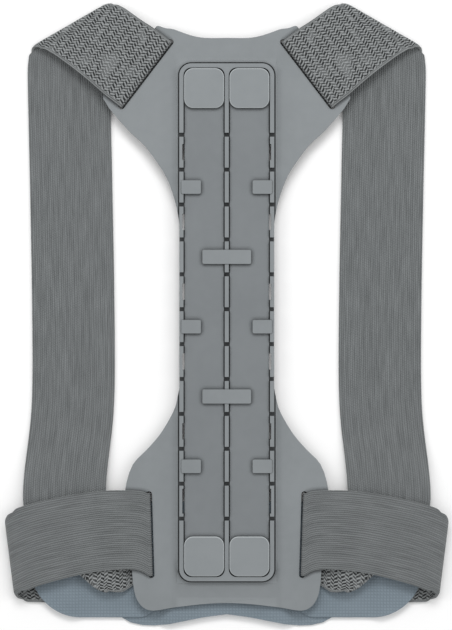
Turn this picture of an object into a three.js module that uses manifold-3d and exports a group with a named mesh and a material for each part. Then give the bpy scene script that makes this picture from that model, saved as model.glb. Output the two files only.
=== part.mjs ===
// Posture corrector, lying flat with the outer face of its back plate up.
// Units are millimetres. +Z is up, +Y runs towards the shoulders, +X is the photo's right.
// The object is symmetric about the plane X = 0, so every side piece is drawn once, on the +X side.
import * as THREE from "three";
import { mergeVertices } from "three/addons/utils/BufferGeometryUtils.js";
import Module from "manifold-3d";

const wasm = await Module();
wasm.setup();

// Elastic strap and the seats between layers
const strapWidth = 55;
const strapThickness = 1.5;
const seatGap = 0.3;
const slotBendRadius = 1.2;

// Back plate
const plateThickness = 3;
const plateHeight = 388.4;
const plateMiddleY = -3;
const earReach = 81.2;
const plateEdgePoints = 240;
const plateTopY = plateMiddleY + plateHeight / 2;
const plateFootY = plateMiddleY - plateHeight / 2;

// Strap slots in the plate
const slotWidth = 4;
const slotEndClearance = 1.4;
const upperSlot = { x: 53.8, belowTop: 30.8, lean: 37.4, land: 11.7 };
const lowerSlot = { x: 51, aboveFoot: 50.7, lean: -1.7, land: 14, footLand: 10.5 };

// Spine frame on the plate
const frameWidth = 63.2;
const frameTopMargin = 23.8;
const frameFootMargin = 19.8;
const frameLength = plateHeight - frameTopMargin - frameFootMargin;
const frameMiddleY = plateMiddleY + (frameFootMargin - frameTopMargin) / 2;
const frameCornerRadius = 8;
const railWidth = 2.8;
const centreRailWidth = 2.7;
const railRise = 2;
const channelDepth = 1.5;
const railGapCount = 12;
const railGapTopMargin = 47.5;
const railGapFootMargin = 41.7;
const railGapPitch = (frameLength - railGapTopMargin - railGapFootMargin) / (railGapCount - 1);
const railGapHeight = 2.7;
const drainSlit = { width: 1.6, length: 10.7, lastLength: 16.5 };
const sideTab = { length: 13, height: 9, thickness: 1.3 };
const crossTab = { length: 32.4, height: 9.4, thickness: 1.3 };
const tabCornerRadius = 1;
const frameGroove = { width: 1, depth: 1.4 };

// Stays and their end caps
const stayThickness = 2;
const staySideClearance = 0.6;
const stayCornerRadius = 5.4;
const capThickness = 1.6;
const capCornerRadius = 6;
const capBevel = 0.5;
const capSideClearance = 0.35;

// Soft pads
const padThickness = 2;
const closurePad = { width: 59, height: 70.6, outerRadius: 17, innerRadius: 3, belowSlot: 20.5 };
const padDrape = { start: 4, length: 10 };
const lining = { reach: 71.2, aboveSlot: 21.5, belowFoot: 10.8, cornerRadius: 4, thickEdge: 8 };

// Strap route: shoulder fold, hanging run, lower fold, belt and its return
const hiddenTail = 30;
const returnLength = 28;

// Fold lines of the strap. reach and rise place a fold's middle from the middle of the nearest
// slot, lean is its angle from the X axis, and spread is its length as a share of strapWidth,
// which is more than 1 where the strap crosses the fold at a slant.
const shoulderFold = { reach: 46.9, rise: 31.2, lean: -28.3, spread: 1.076, radius: 2 };
const lowerFold = { reach: 56.5, rise: -19.3, lean: 33.6, spread: 1.2, radius: 1.3 };
const beltFold = { reach: 89.3, rise: -15.3, lean: 82.8, spread: 0.975 };

// Levels, from the surface that the object lies on
const linedStrapLevel = padThickness + seatGap + strapThickness / 2;
const plateUnderside = linedStrapLevel + strapThickness / 2 + seatGap;
const plateTop = plateUnderside + plateThickness;
const channelFloor = plateTop - channelDepth;
const stayBottom = channelFloor + seatGap;
const stayTop = stayBottom + stayThickness;
const tabBottom = stayTop + seatGap;
const lumbarThickness = plateUnderside - seatGap;
const frameTop = plateTop + railRise;
const overPlateLevel = plateTop + seatGap + strapThickness / 2;
const groundLevel = strapThickness / 2;
const padLift = strapThickness + seatGap;
const overPadLevel = padLift + padThickness + seatGap + strapThickness / 2;
const turnedLevel = overPadLevel + 2 * lowerFold.radius;
const beltLevel = turnedLevel + strapThickness + seatGap;

// Colours and finishes
const plateFinish = { color: 0x8b9193, roughness: 0.55, metalness: 0 };
const stayFinish = { color: 0x818689, roughness: 0.5, metalness: 0 };
const capFinish = { color: 0x8f9597, roughness: 0.5, metalness: 0 };
const strapFinish = { color: 0x727676, roughness: 0.9, metalness: 0 };
const padFinish = { color: 0x788a96, roughness: 0.95, metalness: 0 };

// Small helpers for points in plan
const radians = (degrees) => (degrees * Math.PI) / 180;
const mix = (from, to, share) => from + (to - from) * share;
const mixPoint = (a, b, share) => [mix(a[0], b[0], share), mix(a[1], b[1], share)];
const movePoint = (point, direction, distance) => [
  point[0] + direction[0] * distance,
  point[1] + direction[1] * distance,
];

// Solids for joining and cutting
function solidOf(geometry) {
  const bare = geometry.clone();
  bare.deleteAttribute("normal");
  bare.deleteAttribute("uv");
  const merged = mergeVertices(bare, 1e-4);
  return new wasm.Manifold(new wasm.Mesh({
    numProp: 3,
    vertProperties: new Float32Array(merged.attributes.position.array),
    triVerts: new Uint32Array(merged.index.array),
  }));
}

function geometryOf(solid) {
  const mesh = solid.getMesh();
  const geometry = new THREE.BufferGeometry();
  geometry.setAttribute("position", new THREE.BufferAttribute(new Float32Array(mesh.vertProperties), 3));
  geometry.setIndex(new THREE.BufferAttribute(new Uint32Array(mesh.triVerts), 1));
  return geometry;
}

function extruded(shape, bottom, top) {
  const geometry = new THREE.ExtrudeGeometry(shape, {
    depth: top - bottom, bevelEnabled: false, curveSegments: 6,
  });
  return geometry.translate(0, 0, bottom);
}

function box(x, y, width, height, bottom, top) {
  const geometry = new THREE.BoxGeometry(width, height, top - bottom);
  return geometry.translate(x, y, (bottom + top) / 2);
}

function roundedRectangle(x, y, width, height, radius) {
  const left = x - width / 2;
  const low = y - height / 2;
  const shape = new THREE.Shape();
  shape.moveTo(left + radius, low);
  shape.lineTo(left + width - radius, low);
  shape.absarc(left + width - radius, low + radius, radius, -Math.PI / 2, 0);
  shape.lineTo(left + width, low + height - radius);
  shape.absarc(left + width - radius, low + height - radius, radius, 0, Math.PI / 2);
  shape.lineTo(left + radius, low + height);
  shape.absarc(left + radius, low + height - radius, radius, Math.PI / 2, Math.PI);
  shape.lineTo(left, low + radius);
  shape.absarc(left + radius, low + radius, radius, Math.PI, 1.5 * Math.PI);
  return shape;
}

// Mirror image in the plane X = 0, with its faces turned to point out again
function mirrored(geometry) {
  const copy = geometry.clone();
  copy.scale(-1, 1, 1);
  const index = copy.index.array.slice();
  for (let i = 0; i < index.length; i += 3) {
    [index[i], index[i + 1]] = [index[i + 1], index[i]];
  }
  copy.setIndex(new THREE.BufferAttribute(index, 1));
  return copy;
}

// A slot's ends and the direction straight out of it
function slotLine(slot, y) {
  const lean = radians(slot.lean);
  const along = [Math.sin(lean), -Math.cos(lean)];
  const out = [Math.cos(lean), Math.sin(lean)];
  const centre = [slot.x, y];
  const half = strapWidth / 2 + slotEndClearance;
  return {
    along,
    out,
    centre,
    upper: movePoint(centre, along, -half),
    lower: movePoint(centre, along, half),
    strapUpper: movePoint(centre, along, -strapWidth / 2),
    strapLower: movePoint(centre, along, strapWidth / 2),
  };
}

const upper = slotLine(upperSlot, plateTopY - upperSlot.belowTop);
const lower = slotLine(lowerSlot, plateFootY + lowerSlot.aboveFoot);

// Both ends of a fold line, the one nearer the plate or lower down first
function foldLine(fold, slot) {
  const lean = radians(fold.lean);
  const along = [Math.cos(lean), Math.sin(lean)];
  const middle = [slot.centre[0] + fold.reach, slot.centre[1] + fold.rise];
  const half = (fold.spread * strapWidth) / 2;
  return [movePoint(middle, along, -half), movePoint(middle, along, half)];
}

const [shoulderInner, shoulderOuter] = foldLine(shoulderFold, upper);
const [lowerInner, lowerOuter] = foldLine(lowerFold, lower);
const [beltLow, beltHigh] = foldLine(beltFold, lower);

// A ribbon is a solid wall along rows. Each row is a straight line from edge a to edge b,
// with the level of the wall's middle and its thickness.
function row(a, b, level, thickness = strapThickness) {
  return { a: new THREE.Vector3(a[0], a[1], level), b: new THREE.Vector3(b[0], b[1], level), thickness };
}

function rowNormal(rows, i) {
  const before = rows[Math.max(i - 1, 0)];
  const after = rows[Math.min(i + 1, rows.length - 1)];
  const travel = after.a.clone().add(after.b).sub(before.a).sub(before.b);
  const across = rows[i].b.clone().sub(rows[i].a);
  return across.cross(travel).normalize();
}

function ribbon(rows) {
  const points = [];
  rows.forEach((line, i) => {
    const offset = rowNormal(rows, i).multiplyScalar(line.thickness / 2);
    points.push(line.a.clone().add(offset), line.b.clone().add(offset));
    points.push(line.b.clone().sub(offset), line.a.clone().sub(offset));
  });
  const faces = [];
  const quad = (p, q, r, s) => faces.push(p, q, r, p, r, s);
  for (let i = 0; i + 1 < rows.length; i += 1) {
    for (let side = 0; side < 4; side += 1) {
      const next = (side + 1) % 4;
      quad(4 * i + side, 4 * i + next, 4 * i + 4 + next, 4 * i + 4 + side);
    }
  }
  const last = 4 * (rows.length - 1);
  quad(3, 2, 1, 0);
  quad(last, last + 1, last + 2, last + 3);
  const geometry = new THREE.BufferGeometry().setFromPoints(points);
  geometry.setIndex(faces);
  return geometry;
}

// Rows of a strap that turns from one level to another through a half circle about a fold line
function foldRows(a, b, outward, fromLevel, toLevel, steps = 8) {
  const radius = Math.abs(toLevel - fromLevel) / 2;
  const middle = (fromLevel + toLevel) / 2;
  const rows = [];
  for (let i = 0; i <= steps; i += 1) {
    const angle = (Math.PI * i) / steps;
    const reach = radius * Math.sin(angle);
    const level = middle + ((fromLevel - toLevel) / 2) * Math.cos(angle);
    rows.push(row(movePoint(a, outward, reach), movePoint(b, outward, reach), level));
  }
  return rows;
}

// Rows of a strap that rises through a slot. It arrives from the side named by fromSide
// (-1 inside, +1 outside) and always leaves outwards.
function slotRows(line, a, b, fromSide) {
  const rows = [];
  const quarter = 4;
  for (let i = 0; i <= quarter; i += 1) {
    const angle = ((Math.PI / 2) * i) / quarter;
    const reach = fromSide * slotBendRadius * (1 - Math.sin(angle));
    const level = linedStrapLevel + slotBendRadius * (1 - Math.cos(angle));
    rows.push(row(movePoint(a, line.out, reach), movePoint(b, line.out, reach), level));
  }
  for (let i = 0; i <= quarter; i += 1) {
    const angle = ((Math.PI / 2) * i) / quarter;
    const reach = slotBendRadius * (1 - Math.cos(angle));
    const level = overPlateLevel - slotBendRadius * (1 - Math.sin(angle));
    rows.push(row(movePoint(a, line.out, reach), movePoint(b, line.out, reach), level));
  }
  return rows;
}

// The unit vector square to a fold line, on the side away from the given point
function awayFrom(a, b, point) {
  const length = Math.hypot(b[0] - a[0], b[1] - a[1]);
  const normal = [(b[1] - a[1]) / length, (a[0] - b[0]) / length];
  const side = (point[0] - a[0]) * normal[0] + (point[1] - a[1]) * normal[1];
  return side > 0 ? [-normal[0], -normal[1]] : normal;
}

// From its sewn end behind the plate, up through the upper slot to the shoulder fold
function shoulderRows() {
  const { strapUpper: a, strapLower: b, out } = upper;
  const foldLevel = groundLevel + 2 * shoulderFold.radius;
  const landEdge = slotWidth / 2 + upperSlot.land;
  const beforeFold = { share: 0.75, fall: 0.8 };
  const beforeLevel = mix(overPlateLevel, foldLevel, beforeFold.fall);
  const outward = awayFrom(shoulderInner, shoulderOuter, a);
  return [
    row(movePoint(a, out, -hiddenTail), movePoint(b, out, -hiddenTail), linedStrapLevel),
    ...slotRows(upper, a, b, -1),
    row(movePoint(a, out, landEdge), movePoint(b, out, landEdge), overPlateLevel),
    row(
      mixPoint(a, shoulderInner, beforeFold.share), mixPoint(b, shoulderOuter, beforeFold.share), beforeLevel,
    ),
    ...foldRows(shoulderInner, shoulderOuter, outward, foldLevel, groundLevel),
  ];
}

// The hanging run. down is a share of the run, sway a share of the strap's width towards the
// outside, tilt the row's angle and lift the share of the rise onto the pad.
const hangingRun = [
  { down: 0.055, sway: 0.07, tilt: -16, lift: 0 },
  { down: 0.164, sway: 0.075, tilt: -1, lift: 0 },
  { down: 0.31, sway: 0.05, tilt: 0, lift: 0 },
  { down: 0.472, sway: 0.03, tilt: 0, lift: 0 },
  { down: 0.614, sway: 0.02, tilt: 0, lift: 0 },
  { down: 0.7, sway: 0.024, tilt: 0, lift: 0 },
  { down: 0.755, sway: 0.05, tilt: 0, lift: 0 },
  { down: 0.8, sway: 0.09, tilt: 1, lift: 0.35 },
  { down: 0.845, sway: 0.122, tilt: 2, lift: 0.85 },
  { down: 0.885, sway: 0.14, tilt: 4, lift: 1 },
];

function hangingRows() {
  const top = mixPoint(shoulderInner, shoulderOuter, 0.5);
  const bottom = mixPoint(lowerInner, lowerOuter, 0.5);
  return hangingRun.map(({ down, sway, tilt, lift }) => {
    const centre = [top[0] + sway * strapWidth, mix(top[1], bottom[1], down)];
    const slope = Math.tan(radians(tilt));
    const across = [strapWidth / 2, (strapWidth / 2) * slope];
    const level = mix(groundLevel, overPadLevel, lift);
    return row(movePoint(centre, across, -1), movePoint(centre, across, 1), level);
  });
}

// The lower fold and the stretch that runs in under the flare to the lower slot
function turnedRows() {
  const { strapUpper: b, strapLower: a, out } = lower;
  const outward = awayFrom(lowerInner, lowerOuter, shoulderInner);
  const crossing = lowerInner[0] - seatGap;
  const flareEdge = slotWidth / 2 + lowerSlot.land + 4 * seatGap;
  const crossShare = (lowerOuter[0] - crossing) / (lowerOuter[0] - b[0]);
  return [
    ...foldRows(lowerInner, lowerOuter, outward, overPadLevel, turnedLevel),
    row([crossing, lowerInner[1] + seatGap], [crossing, mix(lowerOuter[1], b[1], crossShare)], turnedLevel),
    row(movePoint(a, out, flareEdge), movePoint(b, out, flareEdge), linedStrapLevel),
    ...slotRows(lower, a, b, 1),
  ];
}

// The belt from the slot to its outer fold. out is a share of the way, drop and lean shares of
// the strap's width, lift the share of the rise from the plate onto the folded strap.
const beltRun = [
  { out: 0.1, drop: -0.055, lean: 0, lift: 0 },
  { out: 0.17, drop: -0.07, lean: 0, lift: 0 },
  { out: 0.32, drop: -0.085, lean: 0, lift: 1 },
  { out: 0.48, drop: -0.06, lean: 0.01, lift: 1 },
  { out: 0.65, drop: 0.01, lean: 0.03, lift: 1 },
  { out: 0.82, drop: 0.09, lean: 0.06, lift: 1 },
  { out: 0.93, drop: 0.17, lean: 0.1, lift: 1 },
];

// How far the belt's return slips down past its fold, as a share of the strap's width
const returnSag = 0.08;

function beltRows() {
  const outerX = mix(beltHigh[0], beltLow[0], 0.5);
  const run = beltRun.map(({ out, drop, lean, lift }) => {
    const centre = [mix(lower.centre[0], outerX, out), lower.centre[1] - drop * strapWidth];
    const half = [(lean * strapWidth) / 2, strapWidth / 2];
    return row(movePoint(centre, half, -1), movePoint(centre, half, 1), mix(overPlateLevel, beltLevel, lift));
  });
  const foldOut = awayFrom(beltLow, beltHigh, lower.centre);
  const foldSteps = 12;
  const sag = returnSag * strapWidth;
  return [
    ...run,
    ...foldRows(beltLow, beltHigh, foldOut, beltLevel, groundLevel, foldSteps),
    ...[sag, returnLength].map((inwards) => row(
      [beltLow[0] - inwards, beltLow[1] - sag], [beltHigh[0] - inwards, beltHigh[1] - sag / 2], groundLevel,
    )),
  ];
}

function strapGeometry() {
  return ribbon([...shoulderRows(), ...hangingRows(), ...turnedRows(), ...beltRows()]);
}

// Half height of a rounded rectangle at a distance from its middle
function roundedHalf(distance, width, height, radius) {
  const past = Math.max(Math.abs(distance) - (width / 2 - radius), 0);
  return height / 2 - radius + Math.sqrt(Math.max(radius * radius - past * past, 0));
}

// Columns across a pad, closer together where its corners are rounded
function padShares(steps) {
  const nearEdge = 0.995;
  return Array.from({ length: steps + 1 }, (_, i) => -nearEdge * Math.cos((Math.PI * i) / steps));
}

// Closure pad: lies on the belt's return and comes down to the ground beside it
function closurePadGeometry() {
  const { width, height, outerRadius, innerRadius, belowSlot } = closurePad;
  const centreX = lining.reach + seatGap + width / 2;
  const centreY = lower.centre[1] - belowSlot;
  const returnEnd = beltLow[0] - returnLength;
  const drapeTop = returnEnd - padDrape.start;
  const rows = padShares(24).map((share) => {
    const x = centreX + (share * width) / 2;
    const half = roundedHalf(x - centreX, width, height, share > 0 ? outerRadius : innerRadius);
    const rise = THREE.MathUtils.smoothstep(x, drapeTop - padDrape.length, drapeTop);
    return row([x, centreY - half], [x, centreY + half], padThickness / 2 + rise * padLift, padThickness);
  });
  return ribbon(rows);
}

// Lower edge of the lining: over is a share of its reach, up a share of its height
const liningEdge = [
  { over: 0, up: 0.095 },
  { over: 0.22, up: 0.07 },
  { over: 0.43, up: 0.034 },
  { over: 0.56, up: 0.012 },
  { over: 0.68, up: 0 },
  { over: 0.8, up: 0.004 },
  { over: 0.91, up: 0.025 },
  { over: 1, up: 0.07 },
];

const liningTop = lower.centre[1] + lining.aboveSlot;
const liningFoot = plateFootY - lining.belowFoot;

function liningBottom(share) {
  const next = Math.max(liningEdge.findIndex((point) => point.over >= share), 1);
  const before = liningEdge[next - 1];
  const after = liningEdge[next];
  const way = (share - before.over) / (after.over - before.over);
  return mix(liningFoot, liningTop, mix(before.up, after.up, way));
}

// Lumbar lining: thin at its sides, thicker between the straps where it meets the plate
function liningGeometry() {
  const thickHalf = lower.centre[0] - slotWidth - 2 * slotBendRadius;
  const rows = padShares(28).map((share) => {
    const x = share * lining.reach;
    const corner = roundedHalf(x, 2 * lining.reach, 2 * lining.cornerRadius, lining.cornerRadius);
    const top = liningTop - lining.cornerRadius + corner;
    const thin = THREE.MathUtils.smoothstep(Math.abs(x), thickHalf - lining.thickEdge, thickHalf);
    const thickness = mix(lumbarThickness, padThickness, thin);
    return row([x, liningBottom(Math.abs(share))], [x, top], thickness / 2, thickness);
  });
  return ribbon(rows);
}

// Right half of the plate's outline from the top centre to the bottom centre. across is a share
// of earReach and up a share of plateHeight from the plate's middle.
const neckEdge = [
  { across: 0, up: 0.483 },
  { across: 0.18, up: 0.483 },
  { across: 0.27, up: 0.486 },
  { across: 0.36, up: 0.492 },
  { across: 0.44, up: 0.498 },
  { across: 0.51, up: 0.5 },
];
const waistEnds = { top: 0.155, low: -0.112 };
const sideEdge = [
  { across: 0.815, up: 0.326 },
  { across: 0.674, up: 0.298 },
  { across: 0.58, up: 0.272 },
  { across: 0.506, up: 0.248 },
  { across: 0.454, up: 0.222 },
  { across: 0.413, up: 0.193 },
];
const flareEdge = [
  { across: 0.4, up: -0.129 },
  { across: 0.422, up: -0.15 },
  { across: 0.467, up: -0.17 },
  { across: 0.553, up: -0.199 },
  { across: 0.656, up: -0.224 },
  { across: 0.773, up: -0.25 },
];
const footEdge = [
  { across: 0.778, up: -0.43 },
  { across: 0.767, up: -0.457 },
  { across: 0.742, up: -0.479 },
  { across: 0.69, up: -0.494 },
  { across: 0.62, up: -0.5 },
  { across: 0.44, up: -0.495 },
  { across: 0.2, up: -0.489 },
  { across: 0, up: -0.487 },
];

function platePoint({ across, up }) {
  return [across * earReach, plateMiddleY + up * plateHeight];
}

function plateOutline() {
  const earLand = slotWidth / 2 + upperSlot.land;
  const flareLand = slotWidth / 2 + lowerSlot.land;
  const waist = frameWidth / 2 - seatGap;
  const earTop = movePoint(upper.upper, upper.out, earLand);
  const earLow = movePoint(upper.lower, upper.out, earLand);
  const flareTop = movePoint(lower.upper, lower.out, flareLand);
  const flareLow = movePoint(lower.lower, lower.out, slotWidth / 2 + lowerSlot.footLand);
  const waistTop = [waist, plateMiddleY + waistEnds.top * plateHeight];
  const waistLow = [waist, plateMiddleY + waistEnds.low * plateHeight];
  const right = [
    ...neckEdge.map(platePoint),
    ...[-0.02, 0.05, 0.5, 0.93, 1.01].map((share) => mixPoint(earTop, earLow, share)),
    ...sideEdge.map(platePoint),
    ...[0, 0.1, 0.5, 0.9, 1].map((share) => mixPoint(waistTop, waistLow, share)),
    ...flareEdge.map(platePoint),
    ...[0, 0.15, 0.85, 1].map((share) => mixPoint(flareTop, flareLow, share)),
    ...footEdge.map(platePoint),
  ];
  const left = right.slice(1, -1).reverse().map(([x, y]) => [-x, y]);
  const loop = [...right, ...left].map(([x, y]) => new THREE.Vector3(x, y, 0));
  const curve = new THREE.CatmullRomCurve3(loop, true, "centripetal");
  const edge = curve.getPoints(plateEdgePoints).slice(0, -1);
  return new THREE.Shape(edge.map((point) => new THREE.Vector2(point.x, point.y)));
}

// Cutter for a strap slot with round ends
function slotCutter(line, bottom, top) {
  const length = strapWidth + 2 * slotEndClearance;
  const nearRound = 0.995;
  const shape = roundedRectangle(0, 0, slotWidth, length, (nearRound * slotWidth) / 2);
  const geometry = extruded(shape, bottom, top);
  geometry.rotateZ(Math.atan2(line.out[1], line.out[0]));
  return geometry.translate(line.centre[0], line.centre[1], 0);
}

// Rail gap levels along the spine, from the shoulders down
function gapLevels() {
  const first = frameMiddleY + frameLength / 2 - railGapTopMargin;
  return Array.from({ length: railGapCount }, (_, i) => first - i * railGapPitch);
}

function channelShape(side) {
  const inner = centreRailWidth / 2;
  const outer = frameWidth / 2 - railWidth;
  const length = frameLength - 2 * railWidth;
  const radius = frameCornerRadius - railWidth;
  return roundedRectangle(side * (inner + outer) / 2, frameMiddleY, outer - inner, length, radius);
}

function plateGeometry() {
  let plate = solidOf(extruded(plateOutline(), plateUnderside, plateTop));
  const { width, depth } = frameGroove;
  const frame = roundedRectangle(0, frameMiddleY, frameWidth, frameLength, frameCornerRadius);
  const around = roundedRectangle(
    0, frameMiddleY, frameWidth + 2 * width, frameLength + 2 * width, frameCornerRadius + width,
  );
  plate = plate.subtract(solidOf(extruded(around, plateTop - depth, frameTop)));
  plate = plate.add(solidOf(extruded(frame, plateUnderside, frameTop)));
  for (const side of [-1, 1]) {
    plate = plate.subtract(solidOf(extruded(channelShape(side), channelFloor, frameTop + railRise)));
    for (const line of [upper, lower]) {
      const cutter = slotCutter(line, plateUnderside - railRise, frameTop + railRise);
      plate = plate.subtract(solidOf(side > 0 ? cutter : mirrored(indexed(cutter))));
    }
  }
  return geometryOf(withTabs(withSlits(withRailGaps(plate))));
}

function indexed(geometry) {
  const bare = geometry.clone();
  bare.deleteAttribute("normal");
  bare.deleteAttribute("uv");
  return mergeVertices(bare, 1e-4);
}

function withRailGaps(plate) {
  const outerRail = frameWidth / 2 - railWidth / 2;
  let cut = plate;
  for (const level of gapLevels()) {
    for (const rail of [-outerRail, 0, outerRail]) {
      const gap = box(rail, level, railWidth + seatGap, railGapHeight, channelFloor, frameTop + railRise);
      cut = cut.subtract(solidOf(gap));
    }
  }
  return cut;
}

// Slits through the channel floor beside each outer rail, at every second rail segment
function withSlits(plate) {
  const x = frameWidth / 2 - railWidth;
  const levels = gapLevels();
  let cut = plate;
  for (let i = 0; i + 1 < railGapCount; i += 2) {
    const last = i + 2 >= railGapCount;
    const length = last ? drainSlit.lastLength : drainSlit.length;
    const level = (levels[i] + levels[i + 1]) / 2;
    const [bottom, top] = [plateUnderside - railRise, frameTop + railRise];
    for (const side of [-1, 1]) {
      cut = cut.subtract(solidOf(box(side * x, level, drainSlit.width, length, bottom, top)));
    }
  }
  return cut;
}

// Side tabs reach in from the outer rails, cross tabs bridge both stays from the centre rail
function withTabs(plate) {
  const levels = gapLevels();
  const middleOf = (i) => (levels[i] + levels[i + 1]) / 2;
  const sideTabSegments = [1, 5, 9];
  const crossTabSegments = [3, 7];
  let whole = plate;
  for (const i of sideTabSegments) {
    for (const side of [-1, 1]) {
      const x = side * (frameWidth / 2 - railWidth / 2 - sideTab.length / 2);
      const tab = roundedRectangle(x, middleOf(i), sideTab.length, sideTab.height, tabCornerRadius);
      whole = whole.add(solidOf(extruded(tab, tabBottom, tabBottom + sideTab.thickness)));
    }
  }
  for (const i of crossTabSegments) {
    const tab = roundedRectangle(0, middleOf(i), crossTab.length, crossTab.height, tabCornerRadius);
    whole = whole.add(solidOf(extruded(tab, tabBottom, tabBottom + crossTab.thickness)));
  }
  return whole;
}

// Stays lie in the channels with their ends under the caps
function stayGeometry(side) {
  const inner = centreRailWidth / 2 + staySideClearance;
  const outer = frameWidth / 2 - railWidth - staySideClearance;
  const length = frameLength - 2 * railWidth - 2 * staySideClearance;
  const centre = side * (inner + outer) / 2;
  const shape = roundedRectangle(centre, frameMiddleY, outer - inner, length, stayCornerRadius);
  return extruded(shape, stayBottom, stayTop);
}

// End caps: square between the rails, with a bevelled rim
function capGeometry(side, end) {
  const inner = centreRailWidth / 2 + capSideClearance;
  const outer = frameWidth / 2 - railWidth - capSideClearance;
  const size = outer - inner;
  const x = side * (inner + outer) / 2;
  const y = frameMiddleY + end * (frameLength / 2 - railWidth - capSideClearance - size / 2);
  const face = roundedRectangle(x, y, size - 2 * capBevel, size - 2 * capBevel, capCornerRadius - capBevel);
  const geometry = new THREE.ExtrudeGeometry(face, {
    depth: capThickness - 2 * capBevel, bevelEnabled: true, bevelThickness: capBevel,
    bevelSize: capBevel, bevelSegments: 2, curveSegments: 6,
  });
  return geometry.translate(0, 0, tabBottom + capBevel);
}

// The whole object
const object = new THREE.Group();

function addPiece(name, geometry, finish) {
  const mesh = new THREE.Mesh(geometry, new THREE.MeshStandardMaterial(finish));
  mesh.name = name;
  object.add(mesh);
}

addPiece("back_plate", plateGeometry(), plateFinish);
addPiece("lumbar_lining", liningGeometry(), padFinish);
const strap = strapGeometry();
const pad = closurePadGeometry();
for (const [sideName, side] of [["left", -1], ["right", 1]]) {
  addPiece(`stay_${sideName}`, stayGeometry(side), stayFinish);
  addPiece(`cap_top_${sideName}`, capGeometry(side, 1), capFinish);
  addPiece(`cap_bottom_${sideName}`, capGeometry(side, -1), capFinish);
  addPiece(`strap_${sideName}`, side > 0 ? strap : mirrored(strap), strapFinish);
  addPiece(`closure_pad_${sideName}`, side > 0 ? pad : mirrored(pad), padFinish);
}

// The origin is the middle of the object's footprint, on the surface that it lies on
const bounds = new THREE.Box3().setFromObject(object);
const middle = bounds.getCenter(new THREE.Vector3());
object.position.set(-middle.x, -middle.y, -bounds.min.z);

export default object;
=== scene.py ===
# %% [markdown]
# A posture corrector, lying flat with its outer face up.
#
# The real object is a moulded back plate with two flat stays in a frame along the spine, one wide
# elastic strap on each side, and thin mesh pads at the waist. Everything hard keeps the size and place
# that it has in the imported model: copies of its solids get soft edges, slight hollows and a finish,
# and the caps are modelled inside its boxes. Everything woven is modelled here.

# %% Load the frame
import math
import bpy
import numpy as np
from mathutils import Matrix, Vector


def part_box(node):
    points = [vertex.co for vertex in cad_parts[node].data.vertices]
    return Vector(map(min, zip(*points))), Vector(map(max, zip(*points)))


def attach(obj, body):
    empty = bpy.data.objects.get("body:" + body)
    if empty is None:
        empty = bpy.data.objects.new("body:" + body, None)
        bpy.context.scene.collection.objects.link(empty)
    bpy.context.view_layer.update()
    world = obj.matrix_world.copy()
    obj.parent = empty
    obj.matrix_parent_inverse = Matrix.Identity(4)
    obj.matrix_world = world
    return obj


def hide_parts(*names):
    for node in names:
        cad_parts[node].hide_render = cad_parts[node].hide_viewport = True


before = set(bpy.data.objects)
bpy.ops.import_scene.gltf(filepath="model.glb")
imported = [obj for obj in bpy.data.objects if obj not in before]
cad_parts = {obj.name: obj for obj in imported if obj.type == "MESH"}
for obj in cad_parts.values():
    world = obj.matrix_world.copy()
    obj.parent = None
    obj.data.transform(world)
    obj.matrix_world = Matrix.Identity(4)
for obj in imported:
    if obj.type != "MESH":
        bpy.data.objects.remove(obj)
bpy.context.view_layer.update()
MM = 0.001
SIDES = {"left": -1, "right": 1}
print("the packed model has", len(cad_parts), "nodes")

# %% [markdown]
# ## Camera, light and floor
#
# The photograph looks straight down on the object, and 630 pixels of its height cover 420 mm. A
# long lens from 1.5 m away gives the same view with next to no perspective. The picture has a white
# ground and soft light from all round, a little stronger from the shoulder end, which is what draws
# the thin bright lines on edges that face that way.

# %% Camera
PHOTO_HEIGHT = 420 * MM
CAMERA_HEIGHT = 1.5
TOP_LEVEL = 7 * MM
PHOTO_MIDDLE = (-0.5 * MM, -0.2 * MM)
SENSOR = 36.0

camera_data = bpy.data.cameras.new("photo_camera")
camera_data.sensor_fit = "VERTICAL"
camera_data.sensor_height = SENSOR
camera_data.lens = SENSOR * CAMERA_HEIGHT / PHOTO_HEIGHT
camera = bpy.data.objects.new("photo_camera", camera_data)
camera.location = (*PHOTO_MIDDLE, CAMERA_HEIGHT + TOP_LEVEL)
bpy.context.scene.collection.objects.link(camera)
bpy.context.scene.camera = camera
print("lens", round(camera_data.lens, 1), "mm")

# %% Soft lights
def soft_light(name, place, aim, size, power):
    data = bpy.data.lights.new(name, "AREA")
    data.shape = "RECTANGLE"
    data.size, data.size_y = size
    data.energy = power
    light = bpy.data.objects.new(name, data)
    light.location = place
    light.rotation_euler = (Vector(aim) - Vector(place)).to_track_quat("-Z", "Y").to_euler()
    bpy.context.scene.collection.objects.link(light)


MIDDLE = (0, 0, 0)
SIDE_LIGHT = {"aim": MIDDLE, "size": (0.9, 0.9), "power": 5}
soft_light("shoulder_end_light", (0, 1.7, 1.7), MIDDLE, (1.6, 0.7), 27)
soft_light("left_light", (-1.3, 0.3, 1.1), **SIDE_LIGHT)
soft_light("right_light", (1.3, 0.3, 1.1), **SIDE_LIGHT)

world = bpy.data.worlds.new("white_room")
world.use_nodes = True
sky = world.node_tree.nodes["Background"]
sky.inputs["Color"].default_value = (1.0, 1.0, 1.0, 1)
sky.inputs["Strength"].default_value = 0.655
bpy.context.scene.world = world
bpy.context.scene.view_settings.view_transform = "Standard"
print("lights", len(bpy.data.lights))

# %% Floor
bpy.ops.object.select_all(action="DESELECT")
bpy.ops.mesh.primitive_plane_add(size=6, location=(0, 0, -0.0002))
floor = bpy.context.object
floor.name = "floor"
floor_finish = bpy.data.materials.new("white_floor")
floor_finish.use_nodes = True
floor_shader = floor_finish.node_tree.nodes["Principled BSDF"]
floor_shader.inputs["Base Color"].default_value = (0.92, 0.92, 0.92, 1)
floor_shader.inputs["Roughness"].default_value = 0.9
floor.data.materials.append(floor_finish)
print("the floor is", floor.dimensions.x, "m wide")

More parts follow.
